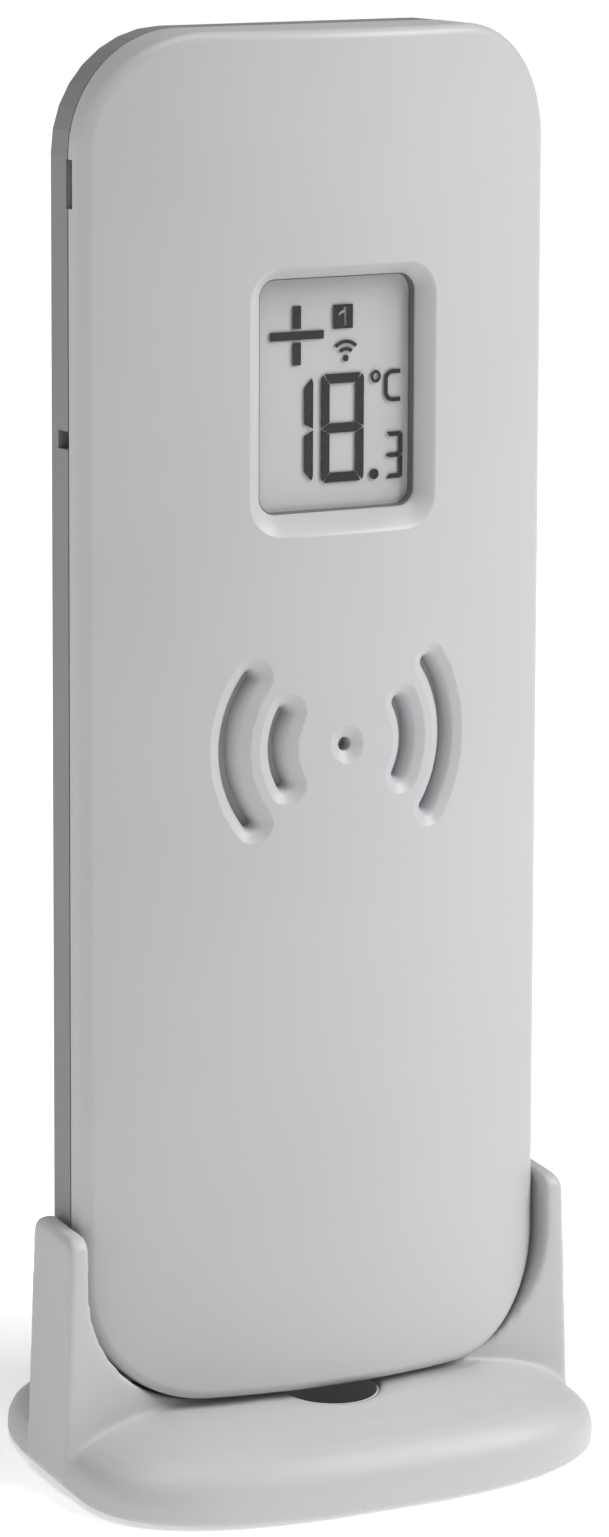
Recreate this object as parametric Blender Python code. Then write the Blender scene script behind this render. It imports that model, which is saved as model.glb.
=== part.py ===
"""A slim wireless temperature transmitter that leans back in a small table stand.

The transmitter is modelled upright in its own frame (X right, Y back, Z up, millimetres) and hangs
on an empty that leans it back into the stand. The stand is modelled on the table, in the row frame.
"""

import math

import bmesh
import bpy
from mathutils import Vector

MM = 0.001

# Driving dimensions, in millimetres.
CASE_WIDTH = 49.4
CASE_HEIGHT = 128.0
CASE_CORNER = 11.2
FACE_BULGE = 6.0  # how far the middle of the front stands ahead of its left and right edges
FACE_FILLET = 1.0
PARTING = 2.6  # where the front cover meets the rear housing
PARTING_GAP = 0.12
RIM_BACK = 6.2  # back edge of the full-width rim
BACK_PLANE = 11.0
COVER_WALL = 1.6
FACE_WALL = 1.9
BACK_WALL = 1.4
GAP = 0.3  # clearance between two pieces

LEAN = math.radians(8.0)
TRANSMITTER_ORIGIN = (0.0, -5.7615, 7.7)  # foot of the case front rim plane, in the row frame

WINDOW_HALF_WIDTH = 8.3
WINDOW_LOW = 83.4
WINDOW_HIGH = 105.2
WINDOW_CORNER = 1.7
WINDOW_BEVEL = 1.55
WINDOW_STEP = -3.9  # where the bevel ends and the straight wall starts
WINDOW_PAD_BACK = -2.65

LED_HEIGHT = 61.7
LED_HOLE = 0.65
LED_DISH = 1.6
LED_DISH_DEPTH = 1.25
ARC_SLOTS = ((11.7, math.radians(35.9)), (7.0, math.radians(28.7)))  # radius, half angle
SLOT_HALF_WIDTH = 0.93
SLOT_FLARE = 1.0
SLOT_FLARE_DEPTH = 0.4

CASE_SCREWS = ((-18.6, 12.5), (18.6, 12.5), (-18.6, 115.5), (18.6, 115.5))
BOARD_SCREWS = ((-14.5, 75.0), (14.5, 75.0), (-14.5, 107.0), (14.5, 107.0))
BOARD_FRONT = 1.0
BOARD_BACK = 2.2
BOARD_HALF_WIDTH = 17.5
BOARD_LOW = 57.0
BOARD_HIGH = 111.0

CELL_RADIUS = 5.2
CELL_SPACING = 11.0
CELL_DEPTH = 4.0  # Y of the cells' axes
CELL_LOW = 8.9
CELL_LENGTH = 43.5
BAY_HALF_WIDTH = 11.2
BAY_LOW = 6.4
BAY_HIGH = 54.9
BAY_FLOOR = -1.4

DOOR_HALF_WIDTH = 15.2
DOOR_LOW = 5.1
DOOR_HIGH = 68.3
DOOR_FRONT = 9.75
LEDGE = 9.0

CONTROL_FLOOR = 7.2
CONTROL_HEIGHT = 62.0
TX_BUTTON_X = -9.5
UNIT_BUTTON_X = -2.5
SLIDER_X = 4.5
SLIDER_TRAVEL = 5.0

BASE_HALF_WIDTH = 27.45
BASE_FRONT = -16.6  # Y from the foot of the case, before the shift to the row frame
BASE_WIDEST = -4.0
BASE_BACK = 17.7
BASE_FRONT_POWER = 2.64
BASE_BACK_POWER = 5.1
BASE_UNDERSIDE = 0.4
BASE_EDGE = 2.3
BASE_TOP = 7.8
DOME_POWER = 3.2  # how square the dome's profile is
BASE_HOLE_RADIUS = 4.9
BASE_HOLE_Y = -2.95
ARM_LOW = 1.2
ARM_TOP = 24.2
ARM_CROWN = 1.3  # radius of the rounded tops
ARM_CORNER = 0.45
ARM_FRONT = -1.85  # in the transmitter's frame, like the back
ARM_BACK = 6.1
ARM_OUTER_TOP = 26.95
ARM_OUTER_LOW = 27.85
SEAT_GAP = 0.33

FEET = ((-17.0, -7.5), (17.0, -7.5), (-17.5, 9.0), (17.5, 9.0))
FOOT_RADIUS = 4.0
FOOT_THICKNESS = 1.3


def clear_scene():
    for item in list(bpy.data.objects):
        bpy.data.objects.remove(item, do_unlink=True)


def make_material(name, colour, roughness, metallic=0.0, alpha=1.0):
    material = bpy.data.materials.new(name)
    material.use_nodes = True
    shader = material.node_tree.nodes["Principled BSDF"]
    shader.inputs["Base Color"].default_value = (*colour, 1.0)
    shader.inputs["Roughness"].default_value = roughness
    shader.inputs["Metallic"].default_value = metallic
    shader.inputs["Alpha"].default_value = alpha
    return material


# ---- mesh tools -------------------------------------------------------------------------------


def add_stack(mesh, loops, columns=False):
    """Joins loops of equally many points into one closed body and caps both ends.

    With columns, each cap is strips between the points that face each other across the loop.
    """
    rows = [[mesh.verts.new(Vector(point) * MM) for point in loop] for loop in loops]
    count = len(rows[0])
    for near, far in zip(rows, rows[1:]):
        for i in range(count):
            j = (i + 1) % count
            mesh.faces.new((near[i], near[j], far[j], far[i]))
    for row in (rows[0], rows[-1]):
        if not columns:
            mesh.faces.new(row)
            continue
        for i in range(count // 2 - 1):
            mesh.faces.new((row[i], row[i + 1], row[count - 2 - i], row[count - 1 - i]))


def add_box(mesh, xs, ys, zs):
    loops = [
        [(xs[0], y, zs[0]), (xs[1], y, zs[0]), (xs[1], y, zs[1]), (xs[0], y, zs[1])]
        for y in ys
    ]
    add_stack(mesh, loops)


def circle(centre_a, centre_b, radius, segments):
    """Points (a, b) round a circle."""
    turn = 2 * math.pi / segments
    return [
        (centre_a + radius * math.cos(turn * i), centre_b + radius * math.sin(turn * i))
        for i in range(segments)
    ]


def add_turned(mesh, x, z, profile, segments=20):
    """A body turned about a line along Y through (x, z). The profile lists (radius, y)."""
    loops = [[(a, y, b) for a, b in circle(x, z, radius, segments)] for radius, y in profile]
    add_stack(mesh, loops)


def add_upright(mesh, x, y, profile, segments=20):
    """A body turned about a line along Z through (x, y). The profile lists (radius, z)."""
    loops = [[(a, b, z) for a, b in circle(x, y, radius, segments)] for radius, z in profile]
    add_stack(mesh, loops)


def rounded_loop(half_width, low, high, radius, depth_at, arc_steps=8, columns=10):
    """A rounded rectangle in XZ whose upper and lower halves share their X values."""
    straight = half_width - radius
    half = []
    for i in range(arc_steps):
        turn = math.pi / 2 * i / arc_steps
        half.append((straight + radius * math.cos(turn), radius * (1 - math.sin(turn))))
    row = [(-x, drop) for x, drop in half]
    row += [(-straight + 2 * straight * i / columns, 0.0) for i in range(columns + 1)]
    row += [(x, drop) for x, drop in reversed(half)]
    upper = [(x, depth_at(x), high - drop) for x, drop in row]
    lower = [(x, depth_at(x), low + drop) for x, drop in reversed(row)]
    return upper + lower


def at(depth):
    return lambda x: depth


def add_rounded_plate(mesh, half_width, low, high, radius, ys, arc_steps=4):
    loops = [rounded_loop(half_width, low, high, radius, at(y), arc_steps, 1) for y in ys]
    add_stack(mesh, loops, columns=True)


def add_ring(mesh, loops):
    """Joins loops of equally many points into a closed ring, the last one back to the first."""
    rows = [[mesh.verts.new(Vector(point) * MM) for point in loop] for loop in loops]
    count = len(rows[0])
    for near, far in zip(rows, rows[1:] + rows[:1]):
        for i in range(count):
            j = (i + 1) % count
            mesh.faces.new((near[i], near[j], far[j], far[i]))


def add_rounded_ring(mesh, outer, inner, ys, arc_steps=4):
    """A closed rectangular ring. outer and inner are (half width, low, high, corner radius)."""
    sections = ((outer, ys[0]), (outer, ys[1]), (inner, ys[1]), (inner, ys[0]))
    add_ring(mesh, [rounded_loop(*outline, at(y), arc_steps, 1) for outline, y in sections])


def place(name, mesh, material, parent=None):
    """Turns a bmesh into a named object."""
    bmesh.ops.recalc_face_normals(mesh, faces=mesh.faces)
    data = bpy.data.meshes.new(name)
    mesh.to_mesh(data)
    mesh.free()
    data.materials.append(material)
    data.shade_smooth()
    data.set_sharp_from_angle(angle=math.radians(35))
    item = bpy.data.objects.new(name, data)
    item.parent = parent
    bpy.context.scene.collection.objects.link(item)
    return item


def combine(body, operation, name, mesh, parent=None, solver="EXACT"):
    """Adds a Boolean of the given bmesh, which stays in the scene as a hidden wire helper."""
    helper = place(name, mesh, body.data.materials[0], parent)
    helper.hide_render = True
    helper.display_type = "WIRE"
    step = body.modifiers.new(name, "BOOLEAN")
    step.operation = operation
    step.object = helper
    step.solver = solver


def place_wire(name, points, radius, material, parent, sides=8):
    """A round wire along the points, with flat closed ends."""
    centres = [Vector(point) for point in points]
    across = (centres[1] - centres[0]).orthogonal()
    loops = []
    for i, centre in enumerate(centres):
        before = centres[max(i - 1, 0)]
        after = centres[min(i + 1, len(centres) - 1)]
        along = (after - before).normalized()
        across = (across - along * across.dot(along)).normalized()
        up = along.cross(across)
        loops.append([centre + across * a + up * b for a, b in circle(0.0, 0.0, radius, sides)])
    mesh = bmesh.new()
    add_stack(mesh, loops)
    place(name, mesh, material, parent)


# ---- the transmitter's case -------------------------------------------------------------------


def face(x):
    """Y of the bulged front at x."""
    return -FACE_BULGE * (1 - (2 * x / CASE_WIDTH) ** 2)


def case_loop(inset, depth_at):
    return rounded_loop(
        CASE_WIDTH / 2 - inset, inset, CASE_HEIGHT - inset, CASE_CORNER - inset, depth_at
    )


def arc_slot_loop(side, radius, half_angle, half_width, depth_at, steps=12, end_steps=6):
    """A curved slot with round ends, concentric with the light hole, to its left or right."""
    def spot(reach, turn):
        return reach * math.cos(turn), reach * math.sin(turn)

    points = []
    for i in range(steps + 1):
        points.append(spot(radius + half_width, half_angle * (2 * i / steps - 1)))
    for end in (half_angle, -half_angle):
        middle = spot(radius, end)
        start = end if end > 0 else end + math.pi
        for i in range(1, end_steps):
            round_end = spot(half_width, start + math.pi * i / end_steps)
            points.append((middle[0] + round_end[0], middle[1] + round_end[1]))
        if end > 0:
            for i in range(steps + 1):
                points.append(spot(radius - half_width, half_angle * (1 - 2 * i / steps)))
    return [(side * x, depth_at(side * x), LED_HEIGHT + z) for x, z in points]


def add_face_slots(mesh):
    for side in (-1, 1):
        for radius, half_angle in ARC_SLOTS:
            wide = SLOT_HALF_WIDTH + SLOT_FLARE
            loops = [
                arc_slot_loop(side, radius, half_angle, wide, at(-FACE_BULGE - 2)),
                arc_slot_loop(side, radius, half_angle, wide, face),
                arc_slot_loop(
                    side, radius, half_angle, SLOT_HALF_WIDTH, lambda x: face(x) + SLOT_FLARE_DEPTH
                ),
                arc_slot_loop(side, radius, half_angle, SLOT_HALF_WIDTH, at(PARTING)),
            ]
            add_stack(mesh, loops)


def add_window_opening(mesh):
    wide = WINDOW_BEVEL
    outer = (
        WINDOW_HALF_WIDTH + wide,
        WINDOW_LOW - wide,
        WINDOW_HIGH + wide,
        WINDOW_CORNER + wide,
    )
    inner = (WINDOW_HALF_WIDTH, WINDOW_LOW, WINDOW_HIGH, WINDOW_CORNER)
    loops = [
        rounded_loop(*outer, at(-FACE_BULGE - 2), 6),
        rounded_loop(*outer, face, 6),
        rounded_loop(*inner, at(WINDOW_STEP), 6),
        rounded_loop(*inner, at(PARTING), 6),
    ]
    add_stack(mesh, loops, columns=True)


def add_side_slots(mesh):
    """The pry slots on the parting line, one on each side."""
    for side in (-1, 1):
        xs = sorted((side * (CASE_WIDTH / 2 - 0.8), side * (CASE_WIDTH / 2 + 1)))
        add_box(mesh, xs, (1.75, 2.95), (111.9, 116.4))


def build_front_cover(material, parent):
    mesh = bmesh.new()
    loops = []
    for i in range(5):
        turn = math.pi / 2 * i / 4
        rise = FACE_FILLET * (1 - math.cos(turn))
        loops.append(case_loop(FACE_FILLET * (1 - math.sin(turn)), lambda x, rise=rise: face(x) + rise))
    loops.append(case_loop(0.0, at(PARTING)))
    add_stack(mesh, loops, columns=True)
    cover = place("front_cover", mesh, material, parent)

    mesh = bmesh.new()
    loops = [
        case_loop(COVER_WALL + 0.8, lambda x: face(x) + FACE_WALL),
        case_loop(COVER_WALL, lambda x: face(x) + FACE_WALL + 0.8),
        case_loop(COVER_WALL, at(PARTING + 1)),
    ]
    add_stack(mesh, loops, columns=True)
    combine(cover, "DIFFERENCE", "cover_hollow", mesh, parent)

    mesh = bmesh.new()
    add_box(mesh, (-11.5, 11.5), (-4.4, WINDOW_PAD_BACK), (80.5, 108.3))
    for x, z in CASE_SCREWS:
        add_turned(mesh, x, z, ((2.5, face(x) + 1.0), (2.5, 3.5)), 16)
    for x, z in BOARD_SCREWS:
        add_turned(mesh, x, z, ((1.8, face(x) + 1.0), (1.8, BOARD_FRONT - 0.2)), 14)
    combine(cover, "UNION", "cover_posts", mesh, parent)

    mesh = bmesh.new()
    add_window_opening(mesh)
    add_face_slots(mesh)
    dish = (
        (LED_DISH, face(0) - 1),
        (LED_DISH, face(0)),
        (LED_HOLE, face(0) + LED_DISH_DEPTH),
        (LED_HOLE, 0.0),
    )
    add_turned(mesh, 0.0, LED_HEIGHT, dish, 20)
    for x, z in CASE_SCREWS:
        add_turned(mesh, x, z, ((1.2, 0.4), (1.2, 4.0)), 12)
    for x, z in BOARD_SCREWS:
        add_turned(mesh, x, z, ((1.0, -1.0), (1.0, 2.0)), 12)
    add_side_slots(mesh)
    combine(cover, "DIFFERENCE", "cover_openings", mesh, parent)
    return cover


def build_rear_housing(material, parent):
    """The back shell. Its joins and cuts use MANIFOLD, because EXACT leaves open edges on it."""
    start = PARTING + PARTING_GAP
    mesh = bmesh.new()
    outside = (
        (4.2, BACK_PLANE), (3.3, 10.85), (2.5, 10.3), (2.0, 9.2), (0.45, RIM_BACK + 0.1),
        (0.12, RIM_BACK - 0.08), (0.0, RIM_BACK - 0.35), (0.0, start),
    )
    lip = ((1.9, start), (1.9, 1.85), (2.9, 1.85), (2.9, 4.4))
    inside = ((COVER_WALL, 4.4), (COVER_WALL, 5.6), (3.6, 9.0), (4.6, BACK_PLANE - BACK_WALL))
    add_stack(mesh, [case_loop(inset, at(y)) for inset, y in outside + lip + inside], columns=True)
    housing = place("rear_housing", mesh, material, parent)

    blocks = (
        ("cell_bay_walls", (-12.3, 12.3), (-2.2, 10.2), (5.4, 56.0)),
        ("door_surround", (-16.7, 16.7), (7.9, 10.0), (4.1, 69.7)),
        ("control_block", (-15.9, 15.9), (6.2, 10.1), (55.5, 69.3)),
        ("hanger_block", (-6.0, 6.0), (7.0, 9.8), (90.2, 105.6)),
    )
    for name, xs, ys, zs in blocks:
        mesh = bmesh.new()
        add_box(mesh, xs, ys, zs)
        combine(housing, "UNION", name, mesh, parent, "MANIFOLD")
    mesh = bmesh.new()
    for x, z in CASE_SCREWS:
        add_turned(mesh, x, z, ((2.75, 3.8), (2.75, 9.9)), 16)
    combine(housing, "UNION", "screw_bosses", mesh, parent, "MANIFOLD")

    mesh = bmesh.new()
    add_box(mesh, (-BAY_HALF_WIDTH, BAY_HALF_WIDTH), (BAY_FLOOR, 13.0), (BAY_LOW, BAY_HIGH))
    combine(housing, "DIFFERENCE", "cell_bay", mesh, parent, "MANIFOLD")

    mesh = bmesh.new()
    add_rounded_plate(
        mesh, DOOR_HALF_WIDTH + GAP, DOOR_LOW - GAP, DOOR_HIGH + GAP, 2.3, (LEDGE, 13.0)
    )
    combine(housing, "DIFFERENCE", "door_recess", mesh, parent, "MANIFOLD")

    mesh = bmesh.new()
    add_box(mesh, (-13.5, 13.5), (CONTROL_FLOOR, 14.0), (57.2, 66.8))
    combine(housing, "DIFFERENCE", "control_well", mesh, parent, "MANIFOLD")

    mesh = bmesh.new()
    for x in (TX_BUTTON_X, UNIT_BUTTON_X):
        add_turned(mesh, x, CONTROL_HEIGHT, ((2.0, 5.5), (2.0, 8.0)), 16)
    slot_xs = (SLIDER_X - 1.2, SLIDER_X + SLIDER_TRAVEL + 1.2)
    add_box(mesh, slot_xs, (5.5, 8.0), (CONTROL_HEIGHT - 1.2, CONTROL_HEIGHT + 1.2))
    for x, z in CASE_SCREWS:
        add_turned(mesh, x, z, ((1.3, 3.0), (1.3, 7.0), (2.2, 7.0), (2.2, 12.0)), 16)
    add_turned(mesh, 0.0, 95.0, ((3.8, 9.0), (3.8, 12.0)), 20)
    for xs in ((-26.0, -22.0), (22.0, 26.0)):
        add_box(mesh, xs, (start - 0.5, 4.6), (89.8, 91.5))
    combine(housing, "DIFFERENCE", "housing_holes", mesh, parent, "MANIFOLD")

    mesh = bmesh.new()
    add_box(mesh, (-2.1, 2.1), (9.0, 12.0), (95.0, 101.0))
    add_side_slots(mesh)
    combine(housing, "DIFFERENCE", "housing_slots", mesh, parent, "MANIFOLD")

    mesh = bmesh.new()
    add_rounded_plate(mesh, 4.2, 90.9, 103.4, 1.5, (8.0, 9.6))
    combine(housing, "DIFFERENCE", "hanger_pocket", mesh, parent, "MANIFOLD")
    return housing


def build_battery_door(material, parent):
    mesh = bmesh.new()
    add_rounded_plate(mesh, DOOR_HALF_WIDTH, DOOR_LOW, DOOR_HIGH, 2.0, (DOOR_FRONT, BACK_PLANE))
    door = place("battery_door", mesh, material, parent)
    mesh = bmesh.new()
    for z in (19.0, 41.0):
        add_box(mesh, (-10.0, 10.0), (9.42, DOOR_FRONT + 0.4), (z, z + 1.0))
    combine(door, "UNION", "door_ribs", mesh, parent)
    mesh = bmesh.new()
    for i in range(4):
        add_box(mesh, (-6.0, 6.0), (10.6, 12.0), (56.0 + 2.2 * i, 57.0 + 2.2 * i))
    combine(door, "DIFFERENCE", "door_grip", mesh, parent)
    return door


def build_door_seal(material, parent):
    mesh = bmesh.new()
    outer = (15.0, 5.3, 68.1, 1.8)
    inner = (14.1, 6.2, 67.2, 0.9)
    add_rounded_ring(mesh, outer, inner, (LEDGE + 0.1, DOOR_FRONT - 0.15), 3)
    place("door_seal", mesh, material, parent)


# ---- display, board and electronics -----------------------------------------------------------


def build_display(looks, parent):
    mesh = bmesh.new()
    add_rounded_plate(mesh, 10.4, 81.4, 107.2, 1.0, (-2.5, -1.95))
    place("display_window", mesh, looks["clear"], parent)
    mesh = bmesh.new()
    add_box(mesh, (-10.6, 10.6), (-1.7, -0.4), (81.2, 107.4))
    place("lcd_panel", mesh, looks["lcd"], parent)
    mesh = bmesh.new()
    add_rounded_ring(mesh, (11.7, 80.1, 108.5, 0.6), (10.9, 80.9, 107.7, 0.4), (-1.8, 0.8), 2)
    place("lcd_frame", mesh, looks["white"], parent)
    mesh = bmesh.new()
    add_box(mesh, (-9.5, 9.5), (-0.2, 0.8), (82.0, 84.0))
    place("zebra_strip", mesh, looks["rubber"], parent)


def build_board(looks, parent):
    mesh = bmesh.new()
    add_rounded_plate(mesh, BOARD_HALF_WIDTH, BOARD_LOW, BOARD_HIGH, 1.5, (BOARD_FRONT, BOARD_BACK))
    board = place("main_board", mesh, looks["board"], parent)
    mesh = bmesh.new()
    for x, z in BOARD_SCREWS:
        add_turned(mesh, x, z, ((1.1, 0.0), (1.1, 3.0)), 12)
    combine(board, "DIFFERENCE", "board_holes", mesh, parent)

    back = BOARD_BACK + 0.1
    front = BOARD_FRONT - 0.2
    pieces = (
        ("mcu_chip", "chip", (-5.0, 5.0), (back, back + 1.2), (71.0, 81.0)),
        ("rf_module", "shield", (-8.0, 5.0), (back, back + 1.8), (84.0, 98.0)),
        ("crystal", "metal", (8.5, 12.5), (back, back + 1.6), (71.0, 73.2)),
        ("status_led", "clear", (-1.0, 1.0), (-0.2, front), (60.8, 62.6)),
        ("tx_switch", "chip", (TX_BUTTON_X - 2.5, TX_BUTTON_X + 2.5), (back, 4.5), (59.5, 64.5)),
        ("unit_switch", "chip", (UNIT_BUTTON_X - 2.5, UNIT_BUTTON_X + 2.5), (back, 4.5), (59.5, 64.5)),
        ("channel_switch", "metal", (3.0, 11.2), (back, 4.9), (60.0, 64.0)),
    )
    for name, look, xs, ys, zs in pieces:
        mesh = bmesh.new()
        add_box(mesh, xs, ys, zs)
        place(name, mesh, looks[look], parent)

    mesh = bmesh.new()
    profile = ((2.2, 71.5), (2.4, 71.8), (2.4, 77.4), (2.2, 77.7))
    add_upright(mesh, -10.5, back + 2.5, profile, 16)
    place("capacitor", mesh, looks["metal"], parent)
    mesh = bmesh.new()
    profile = ((0.45, -1.3), (0.95, -0.9), (0.95, -0.2), (0.4, 0.2), (0.4, front))
    add_turned(mesh, 14.8, 60.0, profile, 12)
    place("temperature_sensor", mesh, looks["chip"], parent)
    mesh = bmesh.new()
    add_turned(mesh, 0.0, LED_HEIGHT, ((1.3, -3.8), (1.6, -3.5), (1.6, -0.5)), 16)
    place("light_guide", mesh, looks["clear"], parent)


def helix(x, y, low, high, radius_low, radius_high, turns, steps=10):
    points = []
    for i in range(turns * steps + 1):
        share = i / (turns * steps)
        reach = radius_low + (radius_high - radius_low) * share
        turn = 2 * math.pi * i / steps
        z = low + (high - low) * share
        points.append((x + reach * math.cos(turn), y + reach * math.sin(turn), z))
    return points


def build_wiring(looks, parent):
    aerial = helix(10.4, 5.4, 86.0, 103.0, 1.5, 1.5, 5)
    place_wire("rf_antenna", aerial, 0.35, looks["copper"], parent)
    lead = (
        (6.5, 4.6, 56.6), (7.6, 4.4, 57.4), (9.0, 4.2, 57.9),
        (11.0, 3.8, 58.2), (13.0, 3.3, 58.6), (14.0, 2.9, 59.2),
    )
    place_wire("battery_wire_negative", lead, 0.4, looks["rubber"], parent)
    lead = [(-x, y, z) for x, y, z in lead]
    place_wire("battery_wire_positive", lead, 0.4, looks["red"], parent)


def build_power(looks, parent):
    """The two cells, one with its button up and one with its button down, and their contacts."""
    half = CELL_SPACING / 2
    high = CELL_LOW + CELL_LENGTH
    button_up = (
        (5.0, CELL_LOW), (CELL_RADIUS, CELL_LOW + 0.3), (CELL_RADIUS, high - 0.4),
        (4.7, high), (1.9, high), (1.9, high + 0.8),
    )
    button_down = (
        (1.9, CELL_LOW - 0.7), (1.9, CELL_LOW + 0.1), (4.7, CELL_LOW + 0.1),
        (CELL_RADIUS, CELL_LOW + 0.5), (CELL_RADIUS, high - 0.2), (5.0, high + 0.1),
    )
    cells = (("battery_cell_1", -half, button_up), ("battery_cell_2", half, button_down))
    for name, x, profile in cells:
        mesh = bmesh.new()
        add_upright(mesh, x, CELL_DEPTH, profile, 24)
        place(name, mesh, looks["cell"], parent)
    spring = helix(-half, CELL_DEPTH, 7.0, 8.4, 3.4, 1.6, 2, 12)
    place_wire("battery_spring_1", spring, 0.25, looks["metal"], parent)
    spring = helix(half, CELL_DEPTH, 52.9, 54.3, 1.6, 3.4, 2, 12)
    place_wire("battery_spring_2", spring, 0.25, looks["metal"], parent)
    for name, x, low in (("contact_plate_1", -half, 53.5), ("contact_plate_2", half, 7.3)):
        mesh = bmesh.new()
        add_box(mesh, (x - 3.6, x + 3.6), (0.4, 7.6), (low, low + 0.4))
        place(name, mesh, looks["metal"], parent)


def build_controls(looks, parent):
    for name, x in (("tx_button", TX_BUTTON_X), ("unit_button", UNIT_BUTTON_X)):
        mesh = bmesh.new()
        profile = ((2.4, 5.1), (2.4, 5.8), (1.6, 5.8), (1.6, 7.9), (1.3, 8.2))
        add_turned(mesh, x, CONTROL_HEIGHT, profile, 16)
        place(name, mesh, looks["button"], parent)
    mesh = bmesh.new()
    x = SLIDER_X
    z = CONTROL_HEIGHT
    add_box(mesh, (x - 1.5, x + 1.5), (5.2, 5.9), (z - 1.7, z + 1.7))
    slider = place("channel_slider", mesh, looks["button"], parent)
    mesh = bmesh.new()
    add_box(mesh, (x - 0.85, x + 0.85), (5.5, 8.3), (z - 0.85, z + 0.85))
    combine(slider, "UNION", "slider_knob", mesh, parent)


def build_screws(looks, parent):
    for i, (x, z) in enumerate(CASE_SCREWS):
        mesh = bmesh.new()
        profile = ((0.5, 0.9), (1.0, 1.5), (1.0, 7.2), (1.9, 7.2), (1.9, 8.0), (1.4, 8.5))
        add_turned(mesh, x, z, profile, 16)
        place(f"case_screw_{i + 1}", mesh, looks["metal"], parent)
    for i, (x, z) in enumerate(BOARD_SCREWS):
        mesh = bmesh.new()
        profile = ((0.4, -0.7), (0.75, -0.3), (0.75, 2.35), (1.6, 2.35), (1.6, 2.9), (1.2, 3.3))
        add_turned(mesh, x, z, profile, 12)
        place(f"board_screw_{i + 1}", mesh, looks["metal"], parent)


# ---- the table stand --------------------------------------------------------------------------


def base_loop(share, height, segments=64):
    """The base outline shrunk to a share of its size about its widest line, at one height."""
    points = []
    for i in range(segments):
        turn = 2 * math.pi * i / segments
        across, along = math.cos(turn), math.sin(turn)
        reach = BASE_BACK - BASE_WIDEST if along > 0 else BASE_WIDEST - BASE_FRONT
        power = BASE_BACK_POWER if along > 0 else BASE_FRONT_POWER
        x = math.copysign(abs(across) ** (2 / power), across) * BASE_HALF_WIDTH * share
        y = math.copysign(abs(along) ** (2 / power), along) * reach * share
        points.append((x, BASE_WIDEST + y + TRANSMITTER_ORIGIN[1], height))
    return points


def dome_height(share):
    return BASE_EDGE + (BASE_TOP - BASE_EDGE) * (1 - share**DOME_POWER) ** 0.5


def add_arms(mesh):
    """Both arms and the bridge between them as one block, wider towards the table.

    Its front and back lean with the case.
    """
    foot_y, foot_z = TRANSMITTER_ORIGIN[1:]
    shoulder = ARM_TOP - ARM_CROWN
    levels = [(ARM_LOW + (shoulder - ARM_LOW) * i / 6, 0.0) for i in range(7)]
    for i in range(1, 5):
        turn = math.pi / 2 * i / 4
        levels.append((shoulder + ARM_CROWN * math.sin(turn), ARM_CROWN * (1 - math.cos(turn))))
    loops = []
    for height, inset in levels:
        share = (height - ARM_LOW) / (ARM_TOP - ARM_LOW)
        outer = ARM_OUTER_LOW + (ARM_OUTER_TOP - ARM_OUTER_LOW) * share - 0.5 * inset
        lean = (height - foot_z) * math.sin(LEAN)
        front = foot_y + (ARM_FRONT + lean) / math.cos(LEAN) + inset
        back = foot_y + (ARM_BACK + lean) / math.cos(LEAN) - inset
        right = [
            (outer - ARM_CORNER, front),
            (outer - ARM_CORNER * 0.3, front + ARM_CORNER * 0.3),
            (outer, front + ARM_CORNER),
            (outer, back - ARM_CORNER),
            (outer - ARM_CORNER, back),
        ]
        outline = right + [(-x, y) for x, y in reversed(right)]
        loops.append([(x, y, height) for x, y in outline])
    add_stack(mesh, loops)


def build_stand(material, transmitter):
    mesh = bmesh.new()
    shares = (1.0, 0.985, 0.955, 0.91, 0.85, 0.76, 0.6, 0.3)
    loops = [base_loop(0.992, BASE_UNDERSIDE), base_loop(1.0, BASE_UNDERSIDE + 0.25)]
    loops += [base_loop(share, dome_height(share)) for share in shares]
    add_stack(mesh, loops)
    stand = place("stand", mesh, material)

    mesh = bmesh.new()
    add_arms(mesh)
    combine(stand, "UNION", "stand_arms", mesh)

    mesh = bmesh.new()
    outline = (CASE_WIDTH / 2 + SEAT_GAP, -SEAT_GAP, 60.0, CASE_CORNER + SEAT_GAP)
    loops = [rounded_loop(*outline, at(y), 10, 1) for y in (-FACE_BULGE - 0.8, BACK_PLANE + 0.6)]
    add_stack(mesh, loops, columns=True)
    combine(stand, "DIFFERENCE", "transmitter_seat", mesh, transmitter)

    mesh = bmesh.new()
    loops = [base_loop(0.88, -1.0, 40), base_loop(0.88, 2.2, 40), base_loop(0.7, 3.9, 40)]
    add_stack(mesh, loops)
    combine(stand, "DIFFERENCE", "stand_hollow", mesh)

    mesh = bmesh.new()
    foot_y = TRANSMITTER_ORIGIN[1]
    pad = ((FOOT_RADIUS + 0.8, FOOT_THICKNESS + GAP), (FOOT_RADIUS + 0.8, 4.2))
    for x, y in FEET:
        add_upright(mesh, x, y + foot_y, pad, 20)
    combine(stand, "UNION", "foot_pads", mesh)

    mesh = bmesh.new()
    bore = ((BASE_HOLE_RADIUS, 2.0), (BASE_HOLE_RADIUS, BASE_TOP + 2))
    add_upright(mesh, 0.0, BASE_HOLE_Y + foot_y, bore, 32)
    combine(stand, "DIFFERENCE", "stand_screw_hole", mesh)
    return stand


def build_feet(material):
    for i, (x, y) in enumerate(FEET):
        mesh = bmesh.new()
        profile = ((FOOT_RADIUS - 0.3, 0.0), (FOOT_RADIUS, 0.3), (FOOT_RADIUS, FOOT_THICKNESS))
        add_upright(mesh, x, y + TRANSMITTER_ORIGIN[1], profile, 20)
        place(f"foot_{i + 1}", mesh, material)


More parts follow.
